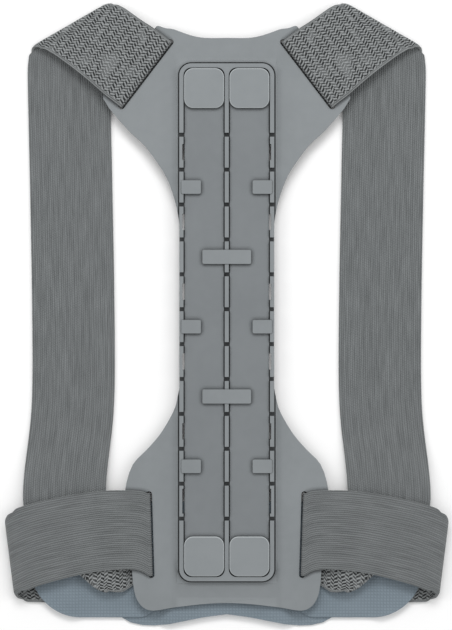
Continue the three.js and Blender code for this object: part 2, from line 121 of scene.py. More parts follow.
# %% [markdown]
# ## Tools for node trees
#
# The finishes are procedural. A few short helpers keep the trees readable: one adds a sum, one a soft
# step, one a noise, one mixes two colours, and one starts a node group with named inputs and outputs.

# %% Node helpers
def wire(tree, value, socket):
    """Join a socket, or set a plain number or colour on it."""
    if isinstance(value, bpy.types.NodeSocket):
        tree.links.new(value, socket)
    else:
        socket.default_value = value


def calc(tree, operation, *values):
    node = tree.nodes.new("ShaderNodeMath")
    node.operation = operation
    for value, socket in zip(values, node.inputs):
        wire(tree, value, socket)
    return node.outputs[0]


def ease(tree, value, low, high):
    """0 below low, 1 above high, and a soft step between."""
    node = tree.nodes.new("ShaderNodeMapRange")
    node.interpolation_type = "SMOOTHSTEP"
    wire(tree, value, node.inputs["Value"])
    node.inputs["From Min"].default_value = low
    node.inputs["From Max"].default_value = high
    return node.outputs["Result"]


def mix_colour(tree, share, low, high):
    node = tree.nodes.new("ShaderNodeMix")
    node.data_type = "RGBA"
    wire(tree, share, node.inputs[0])
    wire(tree, low, node.inputs[6])
    wire(tree, high, node.inputs[7])
    return node.outputs[2]


def noise(tree, vector, scale, detail=2.0):
    node = tree.nodes.new("ShaderNodeTexNoise")
    wire(tree, vector, node.inputs["Vector"])
    node.inputs["Scale"].default_value = scale
    node.inputs["Detail"].default_value = detail
    return node.outputs["Fac"]


def stretch(tree, vector, factors):
    node = tree.nodes.new("ShaderNodeVectorMath")
    node.operation = "MULTIPLY"
    wire(tree, vector, node.inputs[0])
    node.inputs[1].default_value = factors
    return node.outputs[0]


def stretched_noise(tree, vector, factors, detail=2.0):
    """Noise with a size of its own along each axis: a factor is how many grains fit in a metre."""
    return noise(tree, stretch(tree, vector, factors), 1.0, detail)


def start_group(name, inputs, outputs):
    tree = bpy.data.node_groups.new(name, "ShaderNodeTree")
    for label, kind in inputs.items():
        tree.interface.new_socket(name=label, in_out="INPUT", socket_type=kind)
    for label, kind in outputs.items():
        tree.interface.new_socket(name=label, in_out="OUTPUT", socket_type=kind)
    arrives = tree.nodes.new("NodeGroupInput").outputs
    leaves = tree.nodes.new("NodeGroupOutput").inputs
    return tree, arrives, leaves


VECTOR, FLOAT, COLOUR = "NodeSocketVector", "NodeSocketFloat", "NodeSocketColor"
print("socket kinds", VECTOR, FLOAT, COLOUR)

# %% [markdown]
# ## Moulded plastic
#
# The plate, stays and caps are one family of grey plastic. A real moulding isn't one flat colour:
# its tone drifts a little over the part, its gloss varies, and the tool's fine texture shows close
# up. One group gives all of this, and it also paints light and shade into the colour: a painted
# highlight on rounded edges, painted shade in inner corners, and painted shade in narrow recesses.
# Each plastic sets its own colours, the level below which its recesses get painted shade, and how
# bright its painted rim highlight is.

# %% Moulded surface group
moulded, arrives, leaves = start_group(
    "Moulded surface",
    {"Vector": VECTOR, "Low Colour": COLOUR, "High Colour": COLOUR, "Recess": FLOAT, "Rim": FLOAT},
    {"Colour": COLOUR, "Roughness": FLOAT, "Height": FLOAT},
)
# Painted light: a near-black colour for painted shade in recesses and inner corners, and a lighter colour
# for a painted highlight on rims
RECESS_SHADE_COLOUR = (0.022, 0.025, 0.027, 1)
RECESS_SHADE_FADE = 1.2 * MM
RIM_HIGHLIGHT_COLOUR = (0.42, 0.45, 0.46, 1)
CORNER_SHADE_REACH = 3 * MM
# Ranges of soft steps: how far a face looks up and how level it is, which place the painted rim highlight,
# and how open its corners are, which sets their painted shade
LOOKS_UP, LEVEL, OPEN = (0.6, 0.8), (0.95, 0.98), (0.4, 0.98)

drift = noise(moulded, arrives["Vector"], 22.0, 3.0)
cloud = noise(moulded, arrives["Vector"], 160.0, 4.0)
grain = noise(moulded, arrives["Vector"], 2600.0, 1.0)
tone = calc(moulded, "MULTIPLY_ADD", cloud, 0.3, calc(moulded, "MULTIPLY", drift, 0.7))
colour = mix_colour(moulded, ease(moulded, tone, 0.3, 0.7), arrives["Low Colour"], arrives["High Colour"])

# Painted highlight: faces that look up but aren't level, the rounded rims, are mixed towards a lighter
# colour, as strongly as the plastic's Rim input says
facing = moulded.nodes.new("ShaderNodeSeparateXYZ")
wire(moulded, moulded.nodes.new("ShaderNodeNewGeometry").outputs["Normal"], facing.inputs[0])
upward = ease(moulded, facing.outputs["Z"], *LOOKS_UP)
tilted = calc(moulded, "SUBTRACT", 1.0, ease(moulded, facing.outputs["Z"], *LEVEL))
rim = calc(moulded, "MULTIPLY", upward, tilted)
colour = mix_colour(moulded, calc(moulded, "MULTIPLY", rim, arrives["Rim"]), colour, RIM_HIGHLIGHT_COLOUR)

# Painted shade: points below the recess level, and inner corners found by ambient occlusion, are mixed
# towards a near-black colour
split = moulded.nodes.new("ShaderNodeSeparateXYZ")
wire(moulded, arrives["Vector"], split.inputs[0])
below = calc(moulded, "SUBTRACT", arrives["Recess"], split.outputs["Z"])
depth = calc(moulded, "DIVIDE", below, RECESS_SHADE_FADE)
recess_shade = ease(moulded, depth, 0.0, 1.0)
corner = moulded.nodes.new("ShaderNodeAmbientOcclusion")
corner.samples = 2
corner.inputs["Distance"].default_value = CORNER_SHADE_REACH
corner_shade = calc(moulded, "SUBTRACT", 1.0, ease(moulded, corner.outputs["AO"], *OPEN))
darker = calc(moulded, "MAXIMUM", recess_shade, calc(moulded, "MULTIPLY", corner_shade, 0.9))
wire(moulded, mix_colour(moulded, darker, colour, RECESS_SHADE_COLOUR), leaves["Colour"])

wire(moulded, calc(moulded, "MULTIPLY_ADD", cloud, 0.16, 0.42), leaves["Roughness"])
fine = calc(moulded, "MULTIPLY", grain, 0.65)
wire(moulded, calc(moulded, "MULTIPLY_ADD", cloud, 0.35, fine), leaves["Height"])
print(moulded.name, "has", len(moulded.nodes), "nodes")


# %% Finish helpers
def place_group(tree, group, **values):
    node = tree.nodes.new("ShaderNodeGroup")
    node.node_tree = group
    for label, value in values.items():
        wire(tree, value, node.inputs[label.replace("_", " ")])
    return node.outputs


def start_finish(name):
    finish = bpy.data.materials.new(name)
    finish.use_nodes = True
    shader = finish.node_tree.nodes["Principled BSDF"]
    return finish, finish.node_tree, shader


def bump(tree, height, shader, distance, strength=1.0):
    node = tree.nodes.new("ShaderNodeBump")
    node.inputs["Distance"].default_value = distance
    node.inputs["Strength"].default_value = strength
    wire(tree, height, node.inputs["Height"])
    wire(tree, node.outputs["Normal"], shader.inputs["Normal"])


def object_place(tree):
    return tree.nodes.new("ShaderNodeTexCoord").outputs["Object"]


def moulded_finish(name, low, high, shade_level, rim):
    finish, tree, shader = start_finish(name)
    place = object_place(tree)
    colours = {"Low_Colour": (*low, 1), "High_Colour": (*high, 1)}
    out = place_group(tree, moulded, Vector=place, **colours, Recess=shade_level, Rim=rim)
    wire(tree, out["Colour"], shader.inputs["Base Color"])
    wire(tree, out["Roughness"], shader.inputs["Roughness"])
    bump(tree, out["Height"], shader, 0.03 * MM, 0.5)
    return finish


# %% Plastic colours
# name, low colour, high colour, level below which recesses get painted shade, strength of the painted rim
# highlight
plate_finish = moulded_finish("plate_plastic", (0.193, 0.210, 0.219), (0.214, 0.232, 0.242), 6.4 * MM, 0)
stay_finish = moulded_finish("stay_plastic", (0.160, 0.174, 0.183), (0.175, 0.190, 0.199), 7.5 * MM, 0.4)
cap_finish = moulded_finish("cap_plastic", (0.205, 0.224, 0.233), (0.222, 0.240, 0.250), 8.9 * MM, 0.9)
print("plastics", plate_finish.name, stay_finish.name, cap_finish.name)

# %% [markdown]
# ## The back plate
#
# The plate is one moulding: ear wings, waist and flare, with the spine frame standing on it. Its
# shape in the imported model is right, but every edge there is sharp. The way taken here is to copy
# that mesh, merge its loose triangles back into whole faces, round the edges with bevels, and then
# press the wings in a little beside the frame, as the light in the photograph shows. Cuts across the
# flat faces come first, because a face with no points in its middle can't bend.

# %% Helpers for copied solids
def only(piece):
    bpy.ops.object.select_all(action="DESELECT")
    piece.select_set(True)
    bpy.context.view_layer.objects.active = piece


def copy_solid(node, name):
    piece = bpy.data.objects.new(name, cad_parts[node].data.copy())
    piece.data.materials.clear()
    bpy.context.scene.collection.objects.link(piece)
    only(piece)
    bpy.ops.object.mode_set(mode="EDIT")
    bpy.ops.mesh.select_all(action="SELECT")
    bpy.ops.mesh.remove_doubles(threshold=0.002 * MM)
    bpy.ops.mesh.dissolve_limited(angle_limit=math.radians(0.4))
    bpy.ops.object.mode_set(mode="OBJECT")
    return piece


def round_edges(piece, width, segments, angle=35):
    only(piece)
    rounding = piece.modifiers.new("rounding", "BEVEL")
    rounding.width = width
    rounding.segments = segments
    rounding.limit_method = "ANGLE"
    rounding.angle_limit = math.radians(angle)
    rounding.use_clamp_overlap = True
    bpy.ops.object.modifier_apply(modifier=rounding.name)


def read_points(piece):
    points = np.empty(len(piece.data.vertices) * 3)
    piece.data.vertices.foreach_get("co", points)
    return points.reshape(-1, 3)


def write_points(piece, points):
    piece.data.vertices.foreach_set("co", points.ravel())
    piece.data.update()


def finish_piece(piece, finish, slot, *nodes):
    piece.data.materials.append(finish)
    dress(piece, slot, *nodes)


def dress(piece, slot, *nodes):
    only(piece)
    bpy.ops.object.shade_smooth_by_angle(angle=math.radians(32))
    if slot in ("plate", "stay", "cap"):
        weighting = piece.modifiers.new("weighting", "WEIGHTED_NORMAL")
        weighting.keep_sharp = True
        bpy.ops.object.modifier_apply(modifier=weighting.name)
    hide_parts(*nodes)
    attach(piece, "root")
    points = read_points(piece) / MM
    low, high = points.min(axis=0).round(2), points.max(axis=0).round(2)
    print(piece.name, len(piece.data.polygons), "faces, from", low, "to", high, "mm")


# %% Plate
FRAME_HALF = 31.6 * MM
PLATE_THICKNESS = 3.0 * MM
CUT_STEPS = {"across": 2.4 * MM, "along": 9 * MM}
plate_low, plate_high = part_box("back_plate")
plate_top = plate_low.z + PLATE_THICKNESS

plate = copy_solid("back_plate", "plate_shell")
round_edges(plate, width=0.2 * MM, segments=2)


def cut_lines(piece, places, normal):
    bpy.ops.object.mode_set(mode="EDIT")
    for place in places:
        bpy.ops.mesh.select_all(action="SELECT")
        bpy.ops.mesh.bisect(plane_co=place, plane_no=normal)
    bpy.ops.object.mode_set(mode="OBJECT")


across = np.arange(FRAME_HALF + 2 * MM, plate_high.x, CUT_STEPS["across"])
along = np.arange(plate_low.y, plate_high.y, CUT_STEPS["along"])
only(plate)
cut_lines(plate, [(x, 0, 0) for x in (*-across, *across)], (1, 0, 0))
cut_lines(plate, [(0, y, 0) for y in along], (0, 1, 0))
print(plate.name, "is cut at", 2 * len(across), "places across and", len(along), "along")


# %% Dish of the wings
def soft_step(value, low, high):
    share = np.clip((value - low) / (high - low), 0, 1)
    return share * share * (3 - 2 * share)


DISH_DEPTH = 0.9 * MM
CREST = 47 * MM
RIM_FALL = 0.5 * MM
EAR_MARGIN = 12 * MM
EAR_FADE = 18 * MM
# Each pair is the start and end of a soft step, past the frame or above the plate's underside
WING_START = (FRAME_HALF + 0.9 * MM, FRAME_HALF + 1.4 * MM)
UPPER_PART = (plate_low.z + 1.3 * MM, plate_low.z + 1.8 * MM)

points = read_points(plate)
out = np.abs(points[:, 0])
wing = soft_step(out, *WING_START)
dish = DISH_DEPTH * (1 - soft_step(out, FRAME_HALF + 3 * MM, CREST))
fall = RIM_FALL * soft_step(out, CREST, plate_high.x)
upper_face = soft_step(points[:, 2], *UPPER_PART)
inside = soft_step(plate_high.y - EAR_MARGIN - points[:, 1], 0, EAR_FADE)
points[:, 2] -= (dish * inside + fall) * wing * upper_face
write_points(plate, points)
finish_piece(plate, plate_finish, "plate", "back_plate")

# %% [markdown]
# ## Stays and end caps
#
# The stays are flat bars with a slightly sunk middle, and the caps are soft square buttons with a
# rounded rim, made bright by a painted highlight in their finish. A stay is a copy of its solid with an
# inset face. A cap starts as a cube: its upright edges are rounded first, and then its rim.

# %% Top face tools
def select_nothing(piece):
    for group in (piece.data.polygons, piece.data.edges, piece.data.vertices):
        group.foreach_set("select", np.zeros(len(group), bool))


def select_top(piece):
    """Select the highest flat face that looks up, and nothing else."""
    faces = [f for f in piece.data.polygons if f.normal.z > 0.999]
    highest = max(faces, key=lambda f: (round(f.center.z, 5), f.area))
    select_nothing(piece)
    highest.select = True
    for index in highest.vertices:
        piece.data.vertices[index].select = True
    bpy.context.tool_settings.mesh_select_mode = (False, False, True)


def step_top(piece, inset, sink, slope):
    """Inset the top face, then sink a second, slightly smaller one."""
    only(piece)
    select_top(piece)
    bpy.ops.object.mode_set(mode="EDIT")
    bpy.ops.mesh.inset(thickness=inset, depth=0)
    bpy.ops.mesh.inset(thickness=slope, depth=-sink)
    bpy.ops.mesh.inset(thickness=0.15 * MM, depth=0)
    bpy.ops.object.mode_set(mode="OBJECT")


# %% Stays
for side in SIDES:
    stay = copy_solid(f"stay_{side}", f"stay_bar_{side}")
    round_edges(stay, width=0.35 * MM, segments=3)
    step_top(stay, inset=2.2 * MM, sink=0.08 * MM, slope=0.5 * MM)
    finish_piece(stay, stay_finish, "stay", f"stay_{side}")


# %% Caps
def soft_button(name, low, high, corner, rim):
    size = high - low
    bpy.ops.object.select_all(action="DESELECT")
    bpy.ops.mesh.primitive_cube_add(size=1, location=(low + high) / 2)
    piece = bpy.context.object
    piece.name = name
    piece.scale = size
    bpy.ops.object.transform_apply(location=True, rotation=True, scale=True)
    select_nothing(piece)
    for edge in piece.data.edges:
        ends = [piece.data.vertices[i].co for i in edge.vertices]
        edge.select = abs(ends[0].z - ends[1].z) > size.z / 2
    bpy.context.tool_settings.mesh_select_mode = (False, True, False)
    bpy.ops.object.mode_set(mode="EDIT")
    bpy.ops.mesh.bevel(offset=corner, segments=10)
    bpy.ops.object.mode_set(mode="OBJECT")
    round_edges(piece, width=rim, segments=4, angle=60)
    return piece


for side in SIDES:
    for end in ("top", "bottom"):
        node = f"cap_{end}_{side}"
        cap = soft_button(f"end_{node}", *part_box(node), corner=6 * MM, rim=0.9 * MM)
        finish_piece(cap, cap_finish, "cap", node)

# %% [markdown]
# ## The strap's route
#
# Each side has one long elastic strap. It starts at a sewn end behind the plate, comes up through
# the upper slot, folds at the shoulder, hangs down, folds again under the belt, runs in below the
# flare, comes up through the lower slot and goes out as the waist belt, where it turns back under
# itself. The route is a list of rows. A row is a straight line across the strap, from its edge a to
# its edge b, with a height. The strap's width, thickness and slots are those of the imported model, the
# heights follow from its boxes and the thicknesses, and the folds lie where the photograph shows them.

# %% Sizes of the strap
STRAP_WIDTH = 55 * MM
STRAP_THICKNESS = 1.5 * MM
SEAT_GAP = 0.3 * MM
SLOT_WIDTH = 4 * MM
SLOT_BEND = 1.2 * MM
PAD_THICKNESS = 2 * MM
SLOT_SPACING = 306.9 * MM
LINING_ABOVE_SLOT = 21.5 * MM
UPPER_SLOT = {"x": 53.8 * MM, "lean": 37.4, "land": 11.7 * MM}
LOWER_SLOT = {"x": 51 * MM, "lean": -1.7, "land": 14 * MM}
# A fold's middle is reach and rise away from the slot's middle. lean is its angle, spread its length
# as a share of the strap's width, and slide how far the cloth moves along it on its way round.
SHOULDER_FOLD = {
    "reach": 47.6 * MM, "rise": 32.6 * MM, "lean": -29.9, "spread": 1.096, "slide": 4.5 * MM,
    "radius": 2 * MM,
}
LOWER_FOLD = {"reach": 55.3 * MM, "rise": -16.9 * MM, "lean": 42, "spread": 1.36, "radius": 1.3 * MM}
BELT_FOLD = {"reach": 89.6 * MM, "rise": -11.6 * MM, "lean": 82.8, "spread": 1.01, "slide": -6.5 * MM}
HIDDEN_TAIL = 30 * MM
RETURN_LENGTH = 28 * MM

ground_level = STRAP_THICKNESS / 2
lined_level = PAD_THICKNESS + SEAT_GAP + STRAP_THICKNESS / 2
over_plate = plate_top + SEAT_GAP + STRAP_THICKNESS / 2
pad_lift = STRAP_THICKNESS + SEAT_GAP
over_pad = pad_lift + PAD_THICKNESS + SEAT_GAP + STRAP_THICKNESS / 2
turned_level = over_pad + 2 * LOWER_FOLD["radius"]
belt_level = turned_level + STRAP_THICKNESS + SEAT_GAP
levels = (ground_level, lined_level, over_pad, over_plate, belt_level)
print("layers at", [round(level / MM, 2) for level in levels], "mm")

# %% Points and rows in plan
def shift(point, direction, distance):
    return (point[0] + direction[0] * distance, point[1] + direction[1] * distance)


def between(a, b, share):
    return tuple(p + (q - p) * share for p, q in zip(a, b))


def lerp(low, high, share):
    return low + (high - low) * share


def slot_line(slot, y):
    lean = math.radians(slot["lean"])
    down = (math.sin(lean), -math.cos(lean))
    centre = (slot["x"], y)
    return {
        "centre": centre,
        "out": (math.cos(lean), math.sin(lean)),
        "upper": shift(centre, down, -STRAP_WIDTH / 2),
        "lower": shift(centre, down, STRAP_WIDTH / 2),
    }


def fold_line(fold, slot):
    lean = math.radians(fold["lean"])
    along = (math.cos(lean), math.sin(lean))
    middle = (slot["centre"][0] + fold["reach"], slot["centre"][1] + fold["rise"])
    half = fold["spread"] * STRAP_WIDTH / 2
    return shift(middle, along, -half), shift(middle, along, half)


def row(a, b, level, kind="free"):
    return {"a": (*a, level), "b": (*b, level), "kind": kind}


def away_from(a, b, point):
    length = math.dist(a, b)
    normal = ((b[1] - a[1]) / length, (a[0] - b[0]) / length)
    side = (point[0] - a[0]) * normal[0] + (point[1] - a[1]) * normal[1]
    return (-normal[0], -normal[1]) if side > 0 else normal


def fold_rows(a, b, outward, start, end, slide=0, steps=16):
    """A half circle about the line a b. slide moves the cloth from a towards b on its way round."""
    length = math.dist(a, b)
    along = ((b[0] - a[0]) / length, (b[1] - a[1]) / length)
    rows = []
    for i in range(steps + 1):
        angle = math.pi * i / steps
        reach = abs(end - start) / 2 * math.sin(angle)
        level = (start + end) / 2 + (start - end) / 2 * math.cos(angle)
        ends = [shift(shift(point, outward, reach), along, slide * i / steps) for point in (a, b)]
        rows.append(row(*ends, level, "fold"))
    return rows


def slot_rows(line, a, b, from_side, steps=6):
    rows = []
    for i in range(steps + 1):
        angle = math.pi / 2 * i / steps
        reach = from_side * SLOT_BEND * (1 - math.sin(angle))
        level = lined_level + SLOT_BEND * (1 - math.cos(angle))
        rows.append(row(shift(a, line["out"], reach), shift(b, line["out"], reach), level, "slot"))
    for i in range(steps + 1):
        angle = math.pi / 2 * i / steps
        reach = SLOT_BEND * (1 - math.cos(angle))
        level = over_plate - SLOT_BEND * (1 - math.sin(angle))
        rows.append(row(shift(a, line["out"], reach), shift(b, line["out"], reach), level, "slot"))
    return rows


# %% Slots and folds
lower_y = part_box("lumbar_lining")[1].y - LINING_ABOVE_SLOT
upper = slot_line(UPPER_SLOT, lower_y + SLOT_SPACING)
lower = slot_line(LOWER_SLOT, lower_y)
shoulder_inner, shoulder_outer = fold_line(SHOULDER_FOLD, upper)
lower_inner, lower_outer = fold_line(LOWER_FOLD, lower)
belt_low, belt_high = fold_line(BELT_FOLD, lower)
print("slot centres at", [round(v / MM, 1) for v in (*upper["centre"], *lower["centre"])], "mm")

# %% Rows from the sewn end to the shoulder
# a and b are the two edges in plan, and fall is the share of the way down to the fold's height
SHOULDER_RUN = [
    {"a": (57.5 * MM, 196.6 * MM), "b": (96.6 * MM, 160.2 * MM), "fall": 0.25},
    {"a": (67.6 * MM, 204.1 * MM), "b": (113.2 * MM, 172.6 * MM), "fall": 0.6},
    {"a": (72.6 * MM, 206.7 * MM), "b": (121.2 * MM, 177.5 * MM), "fall": 0.9},
]


def shoulder_rows():
    a, b, out = upper["upper"], upper["lower"], upper["out"]
    top = ground_level + 2 * SHOULDER_FOLD["radius"]
    land = SLOT_WIDTH / 2 + UPPER_SLOT["land"]
    outward = away_from(shoulder_inner, shoulder_outer, a)
    return [
        row(shift(a, out, -HIDDEN_TAIL), shift(b, out, -HIDDEN_TAIL), lined_level),
        *slot_rows(upper, a, b, -1),
        row(shift(a, out, land), shift(b, out, land), over_plate),
        *[row(step["a"], step["b"], lerp(over_plate, top, step["fall"])) for step in SHOULDER_RUN],
        *fold_rows(shoulder_inner, shoulder_outer, outward, top, ground_level, SHOULDER_FOLD["slide"]),
    ]


print("rows to the shoulder", len(shoulder_rows()))

# %% Rows of the hanging run
# down is a share of the run, sway a share of the strap's width towards the outside, tilt the row's
# angle, and lift the share of the rise onto the pad
HANGING_RUN = [
    {"down": 0.018, "sway": 0.06, "tilt": -24, "lift": 0},
    {"down": 0.055, "sway": 0.079, "tilt": -17, "lift": 0},
    {"down": 0.1, "sway": 0.077, "tilt": -6, "lift": 0},
    {"down": 0.164, "sway": 0.069, "tilt": -1, "lift": 0},
    {"down": 0.31, "sway": 0.048, "tilt": 0, "lift": 0},
    {"down": 0.472, "sway": 0.028, "tilt": 0, "lift": 0},
    {"down": 0.614, "sway": 0.018, "tilt": 0, "lift": 0},
    {"down": 0.7, "sway": 0.022, "tilt": 0, "lift": 0},
    {"down": 0.755, "sway": 0.048, "tilt": 0, "lift": 0},
    {"down": 0.8, "sway": 0.088, "tilt": 1, "lift": 0.35},
    {"down": 0.845, "sway": 0.12, "tilt": 2, "lift": 0.85},
    {"down": 0.885, "sway": 0.138, "tilt": 4, "lift": 1},
]


def hanging_rows():
    top = between(shoulder_inner, shoulder_outer, 0.5)
    bottom = between(lower_inner, lower_outer, 0.5)
    rows = []
    for step in HANGING_RUN:
        centre = (top[0] + step["sway"] * STRAP_WIDTH, lerp(top[1], bottom[1], step["down"]))
        half = (STRAP_WIDTH / 2, STRAP_WIDTH / 2 * math.tan(math.radians(step["tilt"])))
        level = lerp(ground_level, over_pad, step["lift"])
        rows.append(row(shift(centre, half, -1), shift(centre, half, 1), level))
    return rows


print("rows of the hanging run", len(hanging_rows()))

# %% Rows of the lower fold and the run under the flare
# a and b are the two edges in plan, and fall is the share of the way down to the lining
FLARE_RUN = [
    {"a": (70.6 * MM, -186.2 * MM), "b": (71 * MM, -128 * MM), "fall": 0.6},
    {"a": (65.8 * MM, -182.6 * MM), "b": (66.6 * MM, -125 * MM), "fall": 1},
]


def turned_rows():
    a, b, out = lower["lower"], lower["upper"], lower["out"]
    outward = away_from(lower_inner, lower_outer, shoulder_inner)
    crossing = lower_inner[0] - SEAT_GAP
    share = (lower_outer[0] - crossing) / (lower_outer[0] - b[0])
    crossing_top = lerp(lower_outer[1], b[1], share)
    return [
        *fold_rows(lower_inner, lower_outer, outward, over_pad, turned_level),
        row((crossing, lower_inner[1] + SEAT_GAP), (crossing, crossing_top), turned_level),
        *[row(step["a"], step["b"], lerp(turned_level, lined_level, step["fall"])) for step in FLARE_RUN],
        *slot_rows(lower, a, b, 1),
    ]


print("rows from the lower fold to the slot", len(turned_rows()))

# %% Rows of the belt
# out is a share of the way to the belt's fold, drop, lean and width are shares of the strap's width,
# and lift is the share of the rise from the plate onto the folded strap
BELT_RUN = [
    {"out": 0.05, "drop": -0.035, "lean": 0, "width": 0.975, "lift": 0},
    {"out": 0.1, "drop": -0.056, "lean": 0, "width": 0.955, "lift": 0.05},
    {"out": 0.17, "drop": -0.063, "lean": 0, "width": 0.951, "lift": 0.3},
    {"out": 0.32, "drop": -0.059, "lean": 0, "width": 0.96, "lift": 1},
    {"out": 0.48, "drop": -0.027, "lean": 0.01, "width": 0.976, "lift": 1},
    {"out": 0.65, "drop": 0.032, "lean": 0.03, "width": 0.989, "lift": 1},
    {"out": 0.82, "drop": 0.1, "lean": 0.06, "width": 0.998, "lift": 1},
    {"out": 0.93, "drop": 0.16, "lean": 0.1, "width": 1.0, "lift": 1},
]
RETURN_START = 0.08
RETURN_SLOPE = 0.02


def belt_rows():
    outer_x = (belt_high[0] + belt_low[0]) / 2
    rows = []
    for step in BELT_RUN:
        centre_y = lower["centre"][1] - step["drop"] * STRAP_WIDTH
        centre = (lerp(lower["centre"][0], outer_x, step["out"]), centre_y)
        half = (step["lean"] * STRAP_WIDTH / 2, step["width"] * STRAP_WIDTH / 2)
        level = lerp(over_plate, belt_level, step["lift"])
        rows.append(row(shift(centre, half, -1), shift(centre, half, 1), level))
    outward = away_from(belt_low, belt_high, lower["centre"])
    rows += fold_rows(belt_low, belt_high, outward, belt_level, ground_level, BELT_FOLD["slide"])
    last = rows[-1]
    for inwards in (RETURN_START * STRAP_WIDTH, RETURN_LENGTH):
        low = (last["a"][0] - inwards, last["a"][1] - RETURN_SLOPE * inwards)
        high = (last["b"][0] - inwards, last["b"][1] - RETURN_SLOPE * inwards)
        rows.append(row(low, high, ground_level))
    return rows


print("rows of the belt", len(belt_rows()))

# %% [markdown]
# ## From rows to cloth
#
# The rows are filled in every 0.8 mm and then smoothed. Near a fold or a slot hardly anything is
# smoothed, because the bend there is tight, and further away more and more, so a long run becomes one
# soft curve. Every point also gets its place on the flat, unfolded strap, in metres, which the weave
# follows round each fold.

# %% Fill in and smooth the rows
ROW_STEP = 0.8 * MM
SHARPEST, SOFTEST = 0.12 * MM, 9 * MM
SOFTENING = 0.2


def fill_in(rows):
    filled = []
    for first, second in zip(rows, rows[1:]):
        a0, b0, a1, b1 = (np.array(r[e]) for r in (first, second) for e in "ab")
        length = max(np.linalg.norm(a1 - a0), np.linalg.norm(b1 - b0))
        kind = first["kind"] if first["kind"] == second["kind"] else "free"
        for i in range(max(1, round(length / ROW_STEP))):
            share = i / max(1, round(length / ROW_STEP))
            filled.append((a0 + (a1 - a0) * share, b0 + (b1 - b0) * share, kind))
    filled.append((np.array(rows[-1]["a"]), np.array(rows[-1]["b"]), rows[-1]["kind"]))
    a, b = (np.array([f[i] for f in filled]) for i in (0, 1))
    return a, b, [f[2] for f in filled]


def run_length(edge):
    return np.concatenate([[0], np.cumsum(np.linalg.norm(np.diff(edge, axis=0), axis=1))])


def distance_to(kinds, length, wanted):
    marks = length[[k in wanted for k in kinds]]
    return np.abs(length[:, None] - marks[None]).min(axis=1)


def smooth(values, length, width):
    weights = np.exp(-0.5 * ((length[:, None] - length[None]) / width[:, None]) ** 2)
    return weights @ values / weights.sum(axis=1, keepdims=True)


def strap_edges():
    a, b, kinds = fill_in(shoulder_rows() + hanging_rows() + turned_rows() + belt_rows())
    length = run_length((a + b) / 2)
    width = np.clip(SOFTENING * distance_to(kinds, length, ("fold", "slot")), SHARPEST, SOFTEST)
    return smooth(a, length, width), smooth(b, length, width), kinds


edge_a, edge_b, row_kinds = strap_edges()
flat_a, flat_b = run_length(edge_a), run_length(edge_b)
print("strap length", round(flat_a[-1] / MM), "mm on one edge,", round(flat_b[-1] / MM), "mm on the other")

# %% [markdown]
# ### Rounded fold corners
#
# Thick elastic never makes a sharp corner where a fold meets the strap's edge. Each corner is treated
# as a small square on the flat strap, which is squeezed into a quarter of a disc: points near the
# corner move in along the fold, and back along the strap's own edge. That edge points another way
# before the fold than after it, and on the way round the direction turns from one to the other. Each
# fold has a radius for its end a and one for its end b.

# %% Fold corners
# The shoulder fold, the lower fold and the belt's fold, in this order
FOLD_CORNERS = [
    {"a": 4.5 * MM, "b": 4.5 * MM},
    {"a": 11 * MM, "b": 4 * MM},
    {"a": 5 * MM, "b": 5 * MM},
]


def fold_places():
    """First and last row of each of the three folds."""
    places, start = [], None
    for i, kind in enumerate(row_kinds + ["end"]):
        if kind == "fold" and start is None:
            start = i
        if kind != "fold" and start is not None:
            places.append((start, i - 1))
            start = None
    return places


def squeeze(depth, along, radius):
    """How far a point moves in from the strap's edge, and back from the fold."""
    x, y = np.clip(1 - depth / radius, 0, 1), np.clip(1 - along / radius, 0, 1)
    inwards = x * (1 - np.sqrt(1 - y * y / 2))
    back = y * (1 - np.sqrt(1 - x * x / 2))
    return radius * inwards, radius * back


def direction(edge, start, end):
    """Which way an edge runs in plan, from one row to another."""
    along = (edge[end] - edge[start])[:2]
    return along / np.linalg.norm(along)


def round_corners(points, index, u):
    for corner, (first, last) in zip(FOLD_CORNERS, fold_places()):
        centre = (first + last) // 2
        across = (edge_b[centre] - edge_a[centre])[:2]
        across = across / np.linalg.norm(across)
        turned = np.clip((index - first) / (last - first), 0, 1)[:, None]
        ends = (("a", u, across, edge_a, flat_a), ("b", 1 - u, -across, edge_b, flat_b))
        for end, depth, inward, edge, flat in ends:
            radius = corner[end]
            steps = round(radius / ROW_STEP)
            before = direction(edge, first, first - steps)
            after = direction(edge, last, last + steps)
            back = before * (1 - turned) + after * turned
            along = np.maximum(np.maximum(flat[first] - flat[index], flat[index] - flat[last]), 0)
            moved_in, moved_back = squeeze(depth * STRAP_WIDTH, along, radius)
            points[:, :2] += moved_in[:, None] * inward + moved_back[:, None] * back


print("folds at rows", fold_places())

# %% Strap mesh
COLUMNS = 44
print("each strap is a grid of", COLUMNS, "by", len(edge_a) - 1, "faces")


def strap_grid(name):
    bpy.ops.object.select_all(action="DESELECT")
    bpy.ops.mesh.primitive_grid_add(x_subdivisions=COLUMNS, y_subdivisions=len(edge_a) - 1, size=1)
    piece = bpy.context.object
    piece.name = name
    return piece


def lay_strap(piece, side):
    grid = read_points(piece)
    across = grid[:, 0] + 0.5
    index = np.round((grid[:, 1] + 0.5) * (len(edge_a) - 1)).astype(int)
    u = across[:, None]
    points = edge_a[index] * (1 - u) + edge_b[index] * u
    round_corners(points, index, across)
    points[:, 0] *= side
    write_points(piece, points)
    flat = np.column_stack([across * STRAP_WIDTH, flat_a[index] * (1 - across) + flat_b[index] * across])
    corners = np.empty(len(piece.data.loops), int)
    piece.data.loops.foreach_get("vertex_index", corners)
    piece.data.uv_layers[0].name = "weave"
    piece.data.uv_layers[0].data.foreach_set("uv", flat[corners].ravel())


